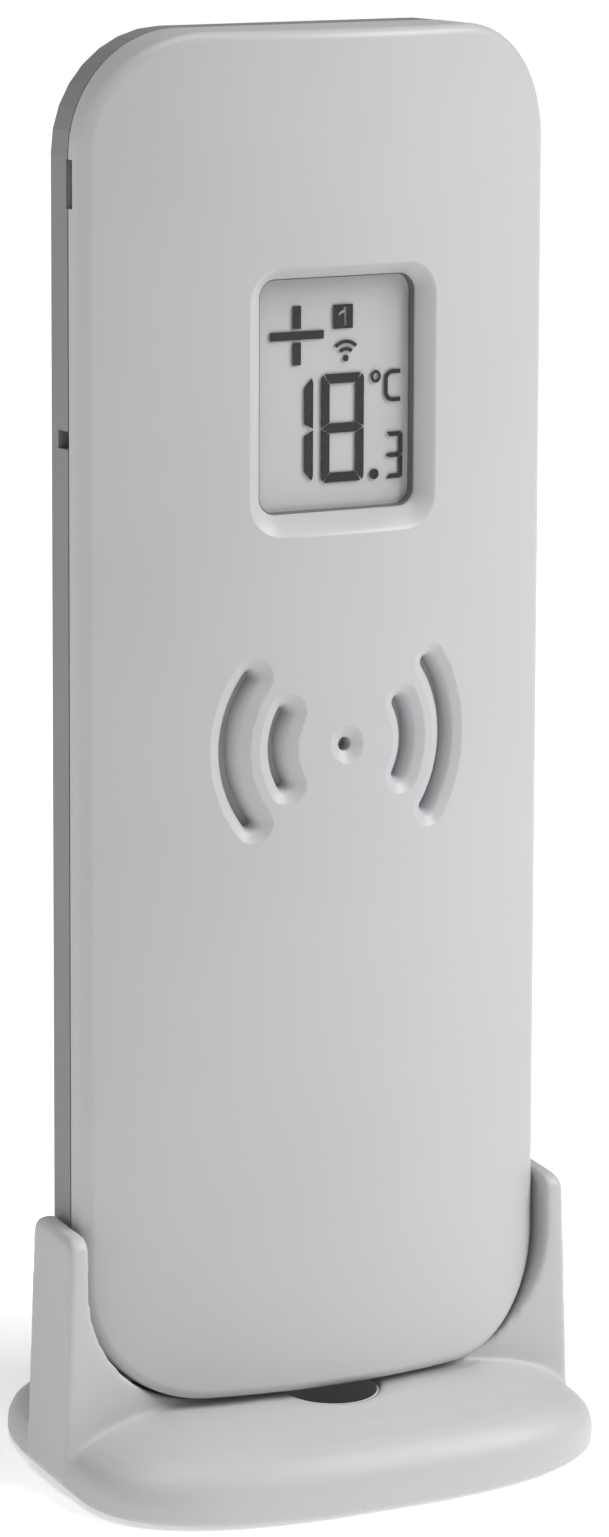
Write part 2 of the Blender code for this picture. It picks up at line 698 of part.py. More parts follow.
def main():
    clear_scene()
    looks = {
        "shell": make_material("pale_grey_shell", (0.56, 0.57, 0.58), 0.45),
        "housing": make_material("dark_grey_housing", (0.25, 0.25, 0.26), 0.5),
        "stand": make_material("pale_grey_stand", (0.55, 0.56, 0.57), 0.5),
        "clear": make_material("clear_plastic", (0.9, 0.92, 0.92), 0.1, alpha=0.35),
        "lcd": make_material("lcd_glass", (0.5, 0.52, 0.52), 0.25),
        "white": make_material("white_plastic", (0.8, 0.8, 0.78), 0.5),
        "rubber": make_material("black_rubber", (0.03, 0.03, 0.03), 0.8),
        "board": make_material("green_board", (0.02, 0.16, 0.06), 0.5),
        "chip": make_material("black_plastic", (0.03, 0.03, 0.035), 0.4),
        "shield": make_material("blue_board", (0.03, 0.07, 0.25), 0.4),
        "metal": make_material("bright_metal", (0.7, 0.7, 0.7), 0.3, 1.0),
        "copper": make_material("copper_wire", (0.8, 0.4, 0.2), 0.3, 1.0),
        "red": make_material("red_insulation", (0.6, 0.03, 0.03), 0.5),
        "cell": make_material("cell_jacket", (0.05, 0.12, 0.3), 0.35),
        "button": make_material("grey_button", (0.35, 0.36, 0.37), 0.5),
    }
    transmitter = bpy.data.objects.new("transmitter", None)
    transmitter.location = Vector(TRANSMITTER_ORIGIN) * MM
    transmitter.rotation_euler = (-LEAN, 0.0, 0.0)
    bpy.context.scene.collection.objects.link(transmitter)

    build_front_cover(looks["shell"], transmitter)
    build_rear_housing(looks["housing"], transmitter)
    build_battery_door(looks["housing"], transmitter)
    build_door_seal(looks["rubber"], transmitter)
    build_display(looks, transmitter)
    build_board(looks, transmitter)
    build_wiring(looks, transmitter)
    build_power(looks, transmitter)
    build_controls(looks, transmitter)
    build_screws(looks, transmitter)
    build_stand(looks["stand"], transmitter)
    build_feet(looks["rubber"])


main()
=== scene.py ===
"""Looks for the wireless temperature transmitter in its table stand.

The transmitter's own frame has X right, Y back and Z up along the case, in millimetres. It leans
back in the stand. transmitter_matrix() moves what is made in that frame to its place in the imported
model.
"""

import math

import bmesh
import bpy
from mathutils import Matrix, Vector

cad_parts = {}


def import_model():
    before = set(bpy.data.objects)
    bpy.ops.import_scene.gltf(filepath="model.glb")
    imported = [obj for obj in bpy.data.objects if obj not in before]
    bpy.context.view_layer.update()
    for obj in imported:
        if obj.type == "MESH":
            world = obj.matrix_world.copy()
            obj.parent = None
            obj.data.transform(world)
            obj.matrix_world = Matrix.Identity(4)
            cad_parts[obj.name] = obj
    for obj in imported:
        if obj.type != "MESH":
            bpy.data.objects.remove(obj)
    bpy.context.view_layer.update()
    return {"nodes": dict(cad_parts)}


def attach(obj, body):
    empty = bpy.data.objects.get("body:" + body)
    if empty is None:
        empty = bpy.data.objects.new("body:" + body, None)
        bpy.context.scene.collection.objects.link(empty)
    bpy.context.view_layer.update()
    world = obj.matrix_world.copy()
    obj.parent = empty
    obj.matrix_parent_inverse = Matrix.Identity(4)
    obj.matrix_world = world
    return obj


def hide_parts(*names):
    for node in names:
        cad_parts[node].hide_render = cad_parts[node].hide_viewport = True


MM = 0.001

# The transmitter's lean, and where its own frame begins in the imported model: the foot of the case.
LEAN = math.radians(8.0)
CASE_FOOT = Vector((0.0, -5.7615, 7.7))

CASE_WIDTH = 49.4
CASE_HEIGHT = 128.0
CASE_CORNER = 11.2
FACE_BULGE = 6.0
FACE_FILLET = 1.0
PARTING = 2.6
COVER_WALL = 1.6
FACE_WALL = 1.9

WINDOW_HALF_WIDTH = 8.3
WINDOW_LOW = 83.4
WINDOW_HIGH = 105.2
WINDOW_CORNER = 1.7
WINDOW_BEVEL = 1.45
WINDOW_STEP = -3.9
# The bevel's width below and above the window, as shares of its width at the sides.
WINDOW_SPREAD_LOW = 1.2
WINDOW_SPREAD_HIGH = 0.75

# Rounded pads inside the cover: half width, low edge, high edge and corner radius.
WINDOW_PAD = (11.5, 80.5, 108.3, 0.5)
WINDOW_PAD_DEPTHS = (-4.4, -2.65)
SLOT_PAD = (13.4, 52.5, 71.0, 6.0)
# The screen behind the slots: a darker grey sheet, painted shade for the shaded inside of the slots.
SLOT_SHADE_SHEET = (13.3, 52.6, 70.9, 5.9)

NOTCH_HEIGHTS = (111.9, 116.4)
NOTCH_DEPTHS = (1.75, 2.95)
NOTCH_REACH = 0.8

LED_HEIGHT = 61.7
LIGHT_GUIDE_CLEARANCE = 1.9
ARC_SLOTS = ((11.7, math.radians(35.9)), (7.0, math.radians(28.7)))
SLOT_HALF_WIDTH = 0.95
SLOT_BACKING = 2.2

# The width of the dark ring that lines the window's wall, painted shade for that shaded wall and the
# gap round the display.
SHADE_RING_WIDTH = 0.11
DISPLAY_GAP = 0.01
GLASS_FRONT = -3.1
GLASS_THICKNESS = 0.06
SEGMENT_FRONT = -3.02
SEGMENT_THICKNESS = 0.02
REFLECTOR_FRONT = -2.84
REFLECTOR_BACK = -0.4
FIGURES_SHIFT = Vector((-0.34, 0.0, 0.12))

# The hole in the base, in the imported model's axes. Its rim slopes with the domed top.
HOLE_Y = -8.71
HOLE_RADIUS = 4.9
HOLE_LOW = 3.0
HOLE_RIM = 7.3
HOLE_SLOPE = 0.055
LINING_WALL = 0.2
LINING_FLOOR = 0.3

STAND_VOXEL = 0.28

# The camera's place in millimetres and its angles in degrees.
CAMERA_PLACE = Vector((-295.85, -489.23, 242.14))
CAMERA_LENS = 149.7
CAMERA_HEADING = -30.94
CAMERA_DIP = 17.107
CAMERA_ROLL = 4.378

# Where the lights point, in metres.
LIGHT_TARGET = Vector((0.0, 0.0, 0.06))
SKY_STRENGTH = 0.16
FLOOR_REACH = 4000
FLOOR_THICKNESS = 20.0
FLOOR_GLOW = 0.36


# ---- mesh tools -------------------------------------------------------------------------------


def transmitter_matrix():
    """From the transmitter's own frame, in millimetres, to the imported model, in metres."""
    lift = Matrix.Translation(CASE_FOOT * MM)
    return lift @ Matrix.Rotation(-LEAN, 4, "X") @ Matrix.Diagonal((MM, MM, MM, 1.0))


def add_rows(mesh, loops):
    """Makes a row of vertices for each loop of points."""
    return [[mesh.verts.new(point) for point in loop] for loop in loops]


def add_band_of_faces(mesh, near, far):
    """Joins two rows of equally many vertices."""
    count = len(near)
    for i in range(count):
        j = (i + 1) % count
        mesh.faces.new((near[i], near[j], far[j], far[i]))


def add_ring(mesh, loops):
    """Joins loops of equally many points into one closed ring, the last loop to the first."""
    rows = add_rows(mesh, loops)
    for near, far in zip(rows, rows[1:] + rows[:1]):
        add_band_of_faces(mesh, near, far)


def add_stack(mesh, loops, columns=False):
    """Joins loops of equally many points into one closed body and caps both ends.

    columns says that the loops are rounded rectangles, whose caps are strips between the upper and
    lower halves.
    """
    rows = add_rows(mesh, loops)
    count = len(rows[0])
    for near, far in zip(rows, rows[1:]):
        add_band_of_faces(mesh, near, far)
    for row in (rows[0], rows[-1]):
        if not columns:
            mesh.faces.new(row)
            continue
        for i in range(count // 2 - 1):
            mesh.faces.new((row[i], row[i + 1], row[count - 2 - i], row[count - 1 - i]))


def rounded_loop(half_width, low, high, radius, depth_at, arc_steps, columns):
    """A rounded rectangle in XZ whose upper and lower halves share their X values."""
    straight = half_width - radius
    half = []
    for i in range(arc_steps):
        turn = math.pi / 2 * i / arc_steps
        half.append((straight + radius * math.cos(turn), radius * (1 - math.sin(turn))))
    row = [(-x, drop) for x, drop in half]
    row += [(-straight + 2 * straight * i / columns, 0.0) for i in range(columns + 1)]
    row += [(x, drop) for x, drop in reversed(half)]
    upper = [(x, depth_at(x), high - drop) for x, drop in row]
    lower = [(x, depth_at(x), low + drop) for x, drop in reversed(row)]
    return upper + lower


def at(depth):
    """The same Y at every x."""
    return lambda x: depth


def circle(centre_a, centre_b, radius, segments):
    turn = 2 * math.pi / segments
    return [
        (centre_a + radius * math.cos(turn * i), centre_b + radius * math.sin(turn * i))
        for i in range(segments)
    ]


def make_object(name, mesh, matrix):
    """Turns a bmesh made in millimetres into an object placed by the matrix."""
    bmesh.ops.recalc_face_normals(mesh, faces=mesh.faces)
    mesh.transform(matrix)
    data = bpy.data.meshes.new(name)
    mesh.to_mesh(data)
    mesh.free()
    item = bpy.data.objects.new(name, data)
    bpy.context.scene.collection.objects.link(item)
    return item


def apply_modifiers(item):
    """Replaces the object's mesh with what its modifiers make of it."""
    bpy.context.view_layer.update()
    evaluated = item.evaluated_get(bpy.context.evaluated_depsgraph_get())
    data = bpy.data.meshes.new_from_object(evaluated)
    item.modifiers.clear()
    item.data = data


def combine(item, operation, mesh):
    """Joins the bmesh to the object or cuts it away, and applies the result."""
    helper = make_object("helper", mesh, transmitter_matrix())
    step = item.modifiers.new("step", "BOOLEAN")
    step.operation = operation
    step.object = helper
    apply_modifiers(item)
    bpy.data.objects.remove(helper)


def shade(item, degrees):
    """Smooth shading, with a sharp line wherever two faces meet at more than the angle."""
    item.data.shade_smooth()
    item.data.set_sharp_from_angle(angle=math.radians(degrees))


def smooth_face_normals(item):
    """Gives the bulged front its true normals, so that the cuts in it leave no streaks."""
    to_case = transmitter_matrix().inverted()
    turn = Matrix.Rotation(-LEAN, 3, "X")
    data = item.data
    corners = [Vector() for _ in data.loops]
    for polygon in data.polygons:
        for index in polygon.loop_indices:
            place = to_case @ data.vertices[data.loops[index].vertex_index].co
            if abs(place.y - face(place.x)) > 0.01:
                continue
            slope = 8 * FACE_BULGE * place.x / CASE_WIDTH**2
            normal = turn @ Vector((slope, -1.0, 0.0)).normalized()
            if normal.angle(polygon.normal) < math.radians(30):
                corners[index] = normal
    data.normals_split_custom_set(corners)


def paint(item, material):
    item.data.materials.clear()
    item.data.materials.append(material)


# ---- front cover ------------------------------------------------------------------------------


def face(x):
    """Y of the bulged front at x."""
    return -FACE_BULGE * (1 - (2 * x / CASE_WIDTH) ** 2)


def below_face(depth):
    """Y a little behind the bulged front, or in front of it where the depth is negative."""
    return lambda x: face(x) + depth


def case_loop(inset, depth_at):
    """The outline of the case, or a smaller one inside it."""
    return rounded_loop(
        CASE_WIDTH / 2 - inset, inset, CASE_HEIGHT - inset, CASE_CORNER - inset, depth_at, 20, 40
    )


def arc_slot_loop(side, radius, half_angle, half_width, depth_at, steps=28, end_steps=12):
    """A curved slot with round ends, concentric with the light hole."""
    points = []
    for reach, turns in ((half_width, range(steps + 1)), (-half_width, range(steps, -1, -1))):
        for i in turns:
            turn = -half_angle + 2 * half_angle * i / steps
            points.append(((radius + reach) * math.cos(turn), (radius + reach) * math.sin(turn)))
        end = half_angle if reach > 0 else -half_angle
        start = end if reach > 0 else end + math.pi
        for i in range(1, end_steps):
            turn = start + math.pi * i / end_steps
            points.append((
                radius * math.cos(end) + half_width * math.cos(turn),
                radius * math.sin(end) + half_width * math.sin(turn),
            ))
    return [(side * x, depth_at(side * x), LED_HEIGHT + z) for x, z in points]


def add_slots(mesh):
    """Cutters for the four slots: a chamfer, a soft edge and a groove that narrows with depth."""
    rolls = (
        (1.15, -0.1), (0.98, 0.01), (0.86, 0.07), (0.15, 0.46), (0.05, 0.52), (-0.04, 0.6),
        (-0.22, 0.85), (-0.38, 1.25), (-0.5, 1.8), (-0.52, 2.5),
    )
    for side in (-1, 1):
        for radius, half_angle in ARC_SLOTS:
            add_stack(mesh, [
                arc_slot_loop(side, radius, half_angle, SLOT_HALF_WIDTH + wider, below_face(depth))
                for wider, depth in rolls
            ])


def add_window(mesh):
    """The cutter for the display window: a soft outer edge, a sloping rim and a straight wall."""
    def loop(wider, depth_at):
        return rounded_loop(
            WINDOW_HALF_WIDTH + wider, WINDOW_LOW - WINDOW_SPREAD_LOW * wider,
            WINDOW_HIGH + WINDOW_SPREAD_HIGH * wider, WINDOW_CORNER + wider, depth_at, 12, 16,
        )

    def slope(share):
        return lambda x: face(x) + (WINDOW_STEP - face(x)) * share

    loops = [
        loop(WINDOW_BEVEL + 0.5, below_face(-0.12)),
        loop(WINDOW_BEVEL + 0.15, below_face(0.03)),
        loop(WINDOW_BEVEL - 0.12, below_face(0.2)),
        loop(WINDOW_BEVEL * 0.5, slope(0.56)),
        loop(0.12, slope(0.94)),
        loop(0.0, at(WINDOW_STEP + 0.15)),
        loop(0.0, at(PARTING)),
    ]
    add_stack(mesh, loops, columns=True)


def add_light_dish(mesh):
    """The cutter for the dish round the light. The profile lists (radius, depth below the face)."""
    profile = (
        (2.1, -0.12), (1.85, 0.01), (1.65, 0.1), (0.8, 0.5), (0.68, 0.58), (0.65, 0.75),
        (0.65, 1.95), (1.9, 1.96), (1.9, 6.0),
    )
    loops = [
        [(x, face(x) + depth, z) for x, z in circle(0.0, LED_HEIGHT, radius, 40)]
        for radius, depth in profile
    ]
    add_stack(mesh, loops)


def add_side_notches(mesh):
    """The cutters for the notches in the long edges of the cover, near its top."""
    low, high = NOTCH_HEIGHTS
    for side in (-1, 1):
        xs = sorted((side * (CASE_WIDTH / 2 - NOTCH_REACH), side * (CASE_WIDTH / 2 + 1)))
        corners = ((xs[0], low), (xs[1], low), (xs[1], high), (xs[0], high))
        add_stack(mesh, [[(x, y, z) for x, z in corners] for y in NOTCH_DEPTHS])


def build_cover(material):
    """The light-grey front cover, with its window, slots, light dish and notches."""
    mesh = bmesh.new()
    loops = []
    steps = 8
    for i in range(steps + 1):
        turn = math.pi / 2 * i / steps
        rise = FACE_FILLET * (1 - math.cos(turn))
        loops.append(case_loop(FACE_FILLET * (1 - math.sin(turn)), below_face(rise)))
    loops.append(case_loop(0.0, at(PARTING - 0.12)))
    loops.append(case_loop(0.12, at(PARTING)))
    add_stack(mesh, loops, columns=True)
    cover = make_object("front_cover_shell", mesh, transmitter_matrix())

    mesh = bmesh.new()
    loops = [
        case_loop(COVER_WALL + 0.8, below_face(FACE_WALL)),
        case_loop(COVER_WALL, below_face(FACE_WALL + 0.8)),
        case_loop(COVER_WALL, at(PARTING + 1)),
    ]
    add_stack(mesh, loops, columns=True)
    combine(cover, "DIFFERENCE", mesh)

    mesh = bmesh.new()
    loops = [rounded_loop(*WINDOW_PAD, at(y), 2, 1) for y in WINDOW_PAD_DEPTHS]
    add_stack(mesh, loops, columns=True)
    combine(cover, "UNION", mesh)

    mesh = bmesh.new()
    depths = (FACE_WALL - 0.4, SLOT_BACKING)
    loops = [rounded_loop(*SLOT_PAD, below_face(depth), 6, 16) for depth in depths]
    add_stack(mesh, loops, columns=True)
    combine(cover, "UNION", mesh)

    mesh = bmesh.new()
    add_window(mesh)
    add_slots(mesh)
    add_light_dish(mesh)
    add_side_notches(mesh)
    combine(cover, "DIFFERENCE", mesh)
    shade(cover, 32)
    smooth_face_normals(cover)
    paint(cover, material)
    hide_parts("front_cover")
    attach(cover, "transmitter")


def build_slot_shade_sheet(material):
    """The thin grey screen that closes the slots from behind, with a hole for the light guide. Its
    grey, darker than the cover's, is painted shade for the shaded inside of the slots.
    """
    mesh = bmesh.new()
    depths = (SLOT_BACKING + 0.02, SLOT_BACKING + 0.1)
    loops = [rounded_loop(*SLOT_SHADE_SHEET, below_face(depth), 6, 16) for depth in depths]
    add_stack(mesh, loops, columns=True)
    hole = bmesh.new()
    rim = circle(0.0, LED_HEIGHT, LIGHT_GUIDE_CLEARANCE, 24)
    add_stack(hole, [[(x, y, z) for x, z in rim] for y in (-FACE_BULGE, 0.0)])
    shade_sheet = make_object("slot_painted_shade_sheet", mesh, transmitter_matrix())
    combine(shade_sheet, "DIFFERENCE", hole)
    paint(shade_sheet, material)
    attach(shade_sheet, "transmitter")


# ---- display ----------------------------------------------------------------------------------


def add_flat(mesh, outline):
    """A thin raised shape on the display. The outline lists (x, z)."""
    depths = (0.0, SEGMENT_THICKNESS)
    add_stack(mesh, [[(x, SEGMENT_FRONT + depth, z) for x, z in outline] for depth in depths])


def add_bar(mesh, low_x, high_x, low_z, high_z):
    add_flat(mesh, ((low_x, low_z), (high_x, low_z), (high_x, high_z), (low_x, high_z)))


def add_band(mesh, centre_x, centre_z, reach_x, reach_z, stroke, start, end, steps=24):
    """A stroke along part of an ellipse, between two angles in degrees."""
    outline = []
    for side, turns in ((0.5, range(steps + 1)), (-0.5, range(steps, -1, -1))):
        for i in turns:
            turn = math.radians(start + (end - start) * i / steps)
            outline.append((
                centre_x + (reach_x + side * stroke) * math.cos(turn),
                centre_z + (reach_z + side * stroke) * math.sin(turn),
            ))
    add_flat(mesh, outline)


def add_digit(mesh, left, right, low, high, stroke, lit, gap=0.07):
    """A seven-segment digit. lit names the segments, a to g, clockwise from the top."""
    middle = (low + high) / 2
    cut = stroke * 0.45
    half = stroke / 2

    def flat_end(z, away):
        """The top or bottom segment. away points to the middle of the digit."""
        return [
            (left + cut * 0.6 + gap, z), (right - cut * 0.6 - gap, z),
            (right - stroke - gap * 0.4, z + away * stroke),
            (left + stroke + gap * 0.4, z + away * stroke),
        ]

    def upright(x, inwards, start, end, outer):
        """A side segment, from the outer corner of the digit to its middle."""
        step = 1 if end > start else -1
        return [
            (x + inwards * cut * 0.4, start + step * outer * 0.2),
            (x, start + step * (outer + gap)),
            (x, end - step * gap * 0.9),
            (x + inwards * stroke, end - step * (half + gap * 0.9)),
            (x + inwards * stroke, start + step * (stroke + gap)),
        ]

    shapes = {
        "a": flat_end(high, -1),
        "d": flat_end(low, 1),
        "g": [
            (left + gap, middle), (left + stroke, middle + half), (right - stroke, middle + half),
            (right - gap, middle), (right - stroke, middle - half), (left + stroke, middle - half),
        ],
        "f": upright(left, 1, high, middle, cut),
        "e": upright(left, 1, low, middle, cut),
        "b": upright(right, -1, high, middle, cut),
        "c": upright(right, -1, low, middle, cut),
    }
    for name in lit:
        add_flat(mesh, shapes[name])


def add_sign(mesh):
    """The plus sign."""
    add_bar(mesh, -3.97, -3.08, 100.3, 102.42)
    add_bar(mesh, -3.97, -3.08, 96.92, 99.04)
    add_bar(mesh, -6.39, -0.65, 99.27, 100.07)


def add_channel_box(mesh):
    """The filled channel box, cut round its light figure."""
    add_bar(mesh, 0.35, 0.92, 100.1, 102.34)
    add_bar(mesh, 1.95, 2.45, 100.1, 102.34)
    add_bar(mesh, 0.93, 1.94, 102.1, 102.34)
    add_bar(mesh, 0.93, 1.94, 100.1, 100.32)
    add_flat(mesh, ((0.93, 100.33), (1.54, 100.33), (1.54, 101.6), (0.93, 101.3)))
    add_flat(mesh, ((0.93, 101.55), (1.5, 101.9), (1.5, 102.09), (0.93, 102.09)))
    add_bar(mesh, 1.78, 1.94, 100.33, 102.09)


def add_radio_mark(mesh):
    """The dot with two waves above it."""
    x, z = 1.71, 97.33
    add_flat(mesh, circle(x, z, 0.31, 24))
    for reach in (0.88, 1.55):
        add_band(mesh, x, z, reach, reach, 0.34, 45, 135)


def add_reading(mesh):
    """The temperature, with its decimal point."""
    add_digit(mesh, -5.4, -1.76, 86.0, 95.75, 0.95, "bc")
    add_digit(mesh, -0.92, 3.67, 85.83, 95.95, 0.92, "abcdefg")
    add_flat(mesh, circle(4.82, 86.33, 0.5, 28))
    add_digit(mesh, 5.98, 7.87, 85.81, 90.2, 0.44, "abcdg", 0.05)


def add_unit(mesh):
    """The degree sign and its letter."""
    add_band(mesh, 4.94, 95.45, 0.4, 0.46, 0.28, 0, 359.9, 36)
    add_band(mesh, 6.75, 95.13, 0.7, 0.7, 0.4, 89, 180)
    add_bar(mesh, 5.85, 6.25, 93.92, 95.12)
    add_band(mesh, 6.75, 93.91, 0.7, 0.7, 0.4, 180, 271)
    add_bar(mesh, 6.76, 7.6, 95.63, 96.03)
    add_bar(mesh, 6.76, 7.6, 93.01, 93.41)


def window_loop(inset, y):
    """The outline of the window's straight wall, or a smaller one inside it."""
    return rounded_loop(
        WINDOW_HALF_WIDTH - inset, WINDOW_LOW + inset, WINDOW_HIGH - inset, WINDOW_CORNER - inset,
        at(y), 12, 1,
    )


def build_painted_shade_ring(material):
    """The dark line round the display, against the wall of the window. It is painted shade: a dark
    lining that stands in for the shaded wall and the gap round the display.
    """
    front = WINDOW_STEP + 0.2
    mesh = bmesh.new()
    add_ring(mesh, [
        window_loop(0.0, front), window_loop(SHADE_RING_WIDTH, front),
        window_loop(SHADE_RING_WIDTH, REFLECTOR_FRONT), window_loop(0.0, REFLECTOR_FRONT),
    ])
    shade_ring = make_object("display_painted_shade_ring", mesh, transmitter_matrix())
    paint(shade_ring, material)
    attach(shade_ring, "transmitter")


def build_panel(name, front, back, material):
    """A flat piece that fills the ring of painted shade round the display."""
    inset = SHADE_RING_WIDTH + DISPLAY_GAP
    mesh = bmesh.new()
    add_stack(mesh, [window_loop(inset, y) for y in (front, back)], columns=True)
    panel = make_object(name, mesh, transmitter_matrix())
    paint(panel, material)
    return panel


def build_display(clear, silver, ink):
    glass = build_panel("display_glass", GLASS_FRONT, GLASS_FRONT + GLASS_THICKNESS, clear)
    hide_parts("display_window")

    reflector = build_panel("display_reflector", REFLECTOR_FRONT, REFLECTOR_BACK, silver)
    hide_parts("lcd_panel")

    mesh = bmesh.new()
    add_sign(mesh)
    add_channel_box(mesh)
    add_radio_mark(mesh)
    add_reading(mesh)
    add_unit(mesh)
    place = transmitter_matrix() @ Matrix.Translation(FIGURES_SHIFT)
    figures = make_object("display_figures", mesh, place)
    paint(figures, ink)
    for piece in (glass, reflector, figures):
        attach(piece, "transmitter")


# ---- stand ------------------------------------------------------------------------------------


def build_stand(frame, material):
    """The moulded stand, remeshed finely so that its edges and inner corners come out rounded."""
    source = frame["nodes"]["stand"]
    stand = bpy.data.objects.new("stand_moulding", source.data.copy())
    bpy.context.scene.collection.objects.link(stand)
    remesh = stand.modifiers.new("remesh", "REMESH")
    remesh.mode = "VOXEL"
    remesh.voxel_size = STAND_VOXEL * MM
    soften = stand.modifiers.new("soften", "SMOOTH")
    soften.factor = 0.5
    soften.iterations = 8
    apply_modifiers(stand)
    stand.data.shade_smooth()
    paint(stand, material)
    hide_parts("stand")
    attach(stand, "stand")


def build_hole_lining(material):
    """The cup that lines the round hole in the base. Its rim follows the top of the base."""
    bore = HOLE_RADIUS - LINING_WALL
    profile = (
        (HOLE_RADIUS, HOLE_LOW, 0.0), (HOLE_RADIUS, HOLE_RIM, HOLE_SLOPE),
        (bore, HOLE_RIM, HOLE_SLOPE), (bore, HOLE_LOW + LINING_FLOOR, 0.0),
    )
    mesh = bmesh.new()
    add_stack(mesh, [
        [(x, HOLE_Y + y, height - slope * y) for x, y in circle(0.0, 0.0, radius, 64)]
        for radius, height, slope in profile
    ])
    lining = make_object("hole_lining", mesh, Matrix.Diagonal((MM, MM, MM, 1.0)))
    shade(lining, 35)
    paint(lining, material)
    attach(lining, "stand")


# ---- materials --------------------------------------------------------------------------------


def node_material(name):
    material = bpy.data.materials.new(name)
    material.use_nodes = True
    tree = material.node_tree
    return material, tree, tree.nodes["Principled BSDF"]


def add_noise(tree, scale, detail=3.0):
    place = tree.nodes.new("ShaderNodeTexCoord")
    noise = tree.nodes.new("ShaderNodeTexNoise")
    noise.inputs["Scale"].default_value = scale
    noise.inputs["Detail"].default_value = detail
    tree.links.new(place.outputs["Object"], noise.inputs["Vector"])
    return noise


def add_ramp(tree, source, stops):
    """Maps a noise to colours. stops lists (position, colour)."""
    ramp = tree.nodes.new("ShaderNodeValToRGB")
    for element, (position, colour) in zip(ramp.color_ramp.elements, stops):
        element.position = position
        element.color = (*colour, 1.0)
    tree.links.new(source.outputs["Fac"], ramp.inputs["Fac"])
    return ramp


def moulded_plastic(name, colour, roughness, grain=0.06, variation=0.02):
    """Injection-moulded plastic: faint cloudiness, uneven gloss and a fine spark-eroded grain."""
    material, tree, shader = node_material(name)
    clouds = add_noise(tree, 45.0)
    darker = tuple(c * (1 - variation) for c in colour)
    lighter = tuple(min(1.0, c * (1 + variation)) for c in colour)
    tint = add_ramp(tree, clouds, ((0.3, darker), (0.7, lighter)))
    tree.links.new(tint.outputs["Color"], shader.inputs["Base Color"])

    wear = add_noise(tree, 180.0)
    gloss = tree.nodes.new("ShaderNodeMapRange")
    gloss.inputs["To Min"].default_value = roughness - 0.05
    gloss.inputs["To Max"].default_value = roughness + 0.05
    tree.links.new(wear.outputs["Fac"], gloss.inputs["Value"])
    tree.links.new(gloss.outputs["Result"], shader.inputs["Roughness"])

    texture = add_noise(tree, 3200.0, 2.0)
    bump = tree.nodes.new("ShaderNodeBump")
    bump.inputs["Strength"].default_value = grain
    bump.inputs["Distance"].default_value = 0.05 * MM
    tree.links.new(texture.outputs["Fac"], bump.inputs["Height"])
    tree.links.new(bump.outputs["Normal"], shader.inputs["Normal"])
    return material


def metal(name, colour, roughness):
    """Plated or drawn metal: faint patches and fine scratches in the gloss."""
    material, tree, shader = node_material(name)
    shader.inputs["Metallic"].default_value = 1.0
    patches = add_noise(tree, 900.0)
    darker = tuple(c * 0.9 for c in colour)
    tint = add_ramp(tree, patches, ((0.35, darker), (0.65, colour)))
    tree.links.new(tint.outputs["Color"], shader.inputs["Base Color"])
    scratches = add_noise(tree, 2500.0)
    gloss = tree.nodes.new("ShaderNodeMapRange")
    gloss.inputs["To Min"].default_value = roughness - 0.08
    gloss.inputs["To Max"].default_value = roughness + 0.08
    tree.links.new(scratches.outputs["Fac"], gloss.inputs["Value"])
    tree.links.new(gloss.outputs["Result"], shader.inputs["Roughness"])
    return material


def clear_plastic(name, colour, alpha, roughness=0.06):
    """Smooth plastic that lets the pieces behind it show through."""
    material = moulded_plastic(name, colour, roughness + 0.05, 0.0, 0.01)
    shader = material.node_tree.nodes["Principled BSDF"]
    shader.inputs["Alpha"].default_value = alpha
    return material


def dress_nodes(frame):
    """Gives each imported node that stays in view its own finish."""
    dark = moulded_plastic("housing_grey", (0.242, 0.245, 0.25), 0.5)
    rubber = moulded_plastic("foot_rubber", (0.03, 0.03, 0.03), 0.8, 0.3, 0.15)
    steel = metal("nickel_plate", (0.72, 0.71, 0.68), 0.28)
    black = moulded_plastic("black_moulding", (0.028, 0.028, 0.032), 0.4)
    button = moulded_plastic("button_grey", (0.36, 0.37, 0.38), 0.45)
    white = moulded_plastic("frame_white", (0.75, 0.75, 0.73), 0.5)
    clear = clear_plastic("light_guide_clear", (0.85, 0.88, 0.88), 0.9)
    board = moulded_plastic("solder_mask", (0.02, 0.13, 0.05), 0.35, 0.2, 0.2)
    module = moulded_plastic("module_blue", (0.03, 0.07, 0.25), 0.35, 0.2, 0.2)
    cell = moulded_plastic("cell_sleeve", (0.05, 0.11, 0.28), 0.25, 0.02)
    copper = metal("copper_wire", (0.8, 0.42, 0.25), 0.3)
    red = moulded_plastic("red_insulation", (0.5, 0.03, 0.03), 0.45)
    looks = {
        "rear_housing": dark, "battery_door": dark, "door_seal": rubber, "zebra_strip": rubber,
        "lcd_frame": white, "main_board": board, "mcu_chip": black, "rf_module": module,
        "crystal": steel, "capacitor": steel, "channel_switch": steel, "status_led": clear,
        "light_guide": clear, "tx_switch": black, "unit_switch": black, "temperature_sensor": black,
        "rf_antenna": copper, "battery_wire_negative": black, "battery_wire_positive": red,
        "tx_button": button, "unit_button": button, "channel_slider": button,
    }
    for i in (1, 2):
        looks[f"battery_cell_{i}"] = cell
        looks[f"battery_spring_{i}"] = steel
        looks[f"contact_plate_{i}"] = steel
    for i in (1, 2, 3, 4):
        looks[f"case_screw_{i}"] = steel
        looks[f"board_screw_{i}"] = steel
        looks[f"foot_{i}"] = rubber
    for name, material in looks.items():
        node = frame["nodes"][name]
        paint(node, material)
        shade(node, 35)
    # the long flat sides next to the rounded corners keep their own shading
    for name in ("rear_housing", "battery_door"):
        flats = frame["nodes"][name].modifiers.new("flats", "WEIGHTED_NORMAL")
        flats.keep_sharp = True


# ---- camera, light and floor ------------------------------------------------------------------


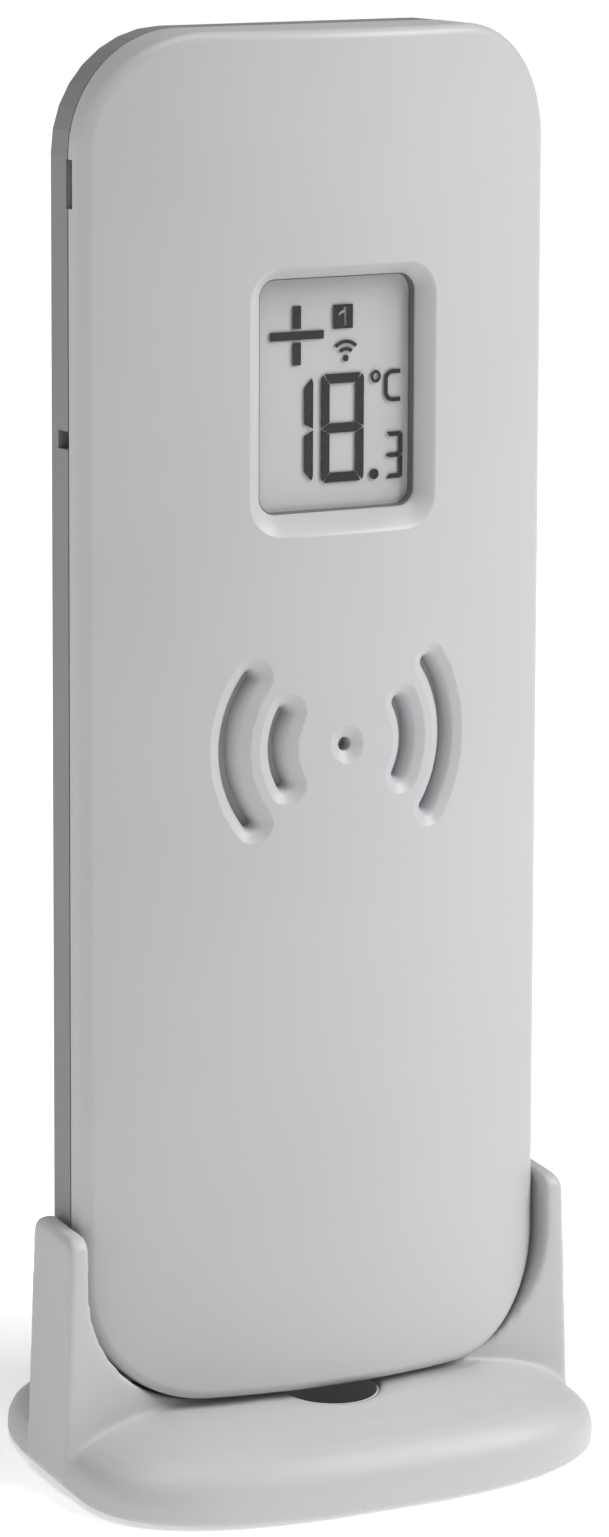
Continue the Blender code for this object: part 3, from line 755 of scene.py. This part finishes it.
def build_camera():
    data = bpy.data.cameras.new("camera")
    data.lens = CAMERA_LENS
    data.sensor_width = 36.0
    data.clip_start = 0.01
    camera = bpy.data.objects.new("camera", data)
    camera.location = CAMERA_PLACE * MM
    heading = Matrix.Rotation(math.radians(CAMERA_HEADING), 4, "Z")
    tilt = Matrix.Rotation(math.radians(90.0 - CAMERA_DIP), 4, "X")
    roll = Matrix.Rotation(math.radians(CAMERA_ROLL), 4, "Z")
    camera.rotation_euler = (heading @ tilt @ roll).to_euler()
    bpy.context.scene.collection.objects.link(camera)
    bpy.context.scene.camera = camera


def build_floor():
    mesh = bmesh.new()
    corners = [(a * FLOOR_REACH, b * FLOOR_REACH) for a, b in ((-1, -1), (1, -1), (1, 1), (-1, 1))]
    add_stack(mesh, [[(x, y, z) for x, y in corners] for z in (-FLOOR_THICKNESS, 0.0)])
    floor = make_object("floor", mesh, Matrix.Diagonal((MM, MM, MM, 1.0)))
    white = moulded_plastic("floor_white", (0.97, 0.97, 0.97), 0.8, 0.0, 0.005)
    shader = white.node_tree.nodes["Principled BSDF"]
    shader.inputs["Emission Color"].default_value = (1.0, 1.0, 1.0, 1.0)
    shader.inputs["Emission Strength"].default_value = FLOOR_GLOW
    paint(floor, white)


def add_area_light(name, place, size, power):
    """A square light at a place in metres, turned to the object."""
    data = bpy.data.lights.new(name, "AREA")
    data.shape = "SQUARE"
    data.size = size
    data.energy = power
    light = bpy.data.objects.new(name, data)
    light.location = place
    light.rotation_euler = (LIGHT_TARGET - Vector(place)).to_track_quat("-Z", "Y").to_euler()
    bpy.context.scene.collection.objects.link(light)


def build_light():
    world = bpy.data.worlds.new("studio")
    world.use_nodes = True
    sky = world.node_tree.nodes["Background"]
    sky.inputs["Color"].default_value = (1.0, 1.0, 1.0, 1.0)
    sky.inputs["Strength"].default_value = SKY_STRENGTH
    bpy.context.scene.world = world
    add_area_light("key", (1.15, -0.75, 1.2), 0.9, 24.5)
    add_area_light("left_fill", (-1.3, -0.1, 0.5), 1.0, 1.9)
    add_area_light("top", (-0.22, -0.1, 1.5), 0.8, 8.0)
    bpy.context.scene.view_settings.view_transform = "Standard"


def main():
    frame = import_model()
    build_cover(moulded_plastic("cover_grey", (0.51, 0.518, 0.53), 0.42))
    build_display(
        clear_plastic("display_clear", (0.2, 0.21, 0.21), 0.02),
        moulded_plastic("display_silver", (0.53, 0.542, 0.55), 0.45, 0.03, 0.015),
        moulded_plastic("display_ink", (0.011, 0.012, 0.013), 0.6, 0.0, 0.05),
    )
    # a dark ring of painted shade lines the window's wall
    build_painted_shade_ring(moulded_plastic("painted_shade_ring_grey", (0.15, 0.15, 0.152), 0.6))
    # a darker grey sheet behind the slots is painted shade for their shaded inside
    build_slot_shade_sheet(moulded_plastic("slot_painted_shade_grey", (0.4, 0.405, 0.41), 0.6))
    build_stand(frame, moulded_plastic("stand_grey", (0.51, 0.518, 0.526), 0.45))
    build_hole_lining(moulded_plastic("lining_grey", (0.58, 0.58, 0.58), 0.6))
    dress_nodes(frame)
    build_camera()
    build_floor()
    build_light()


main()
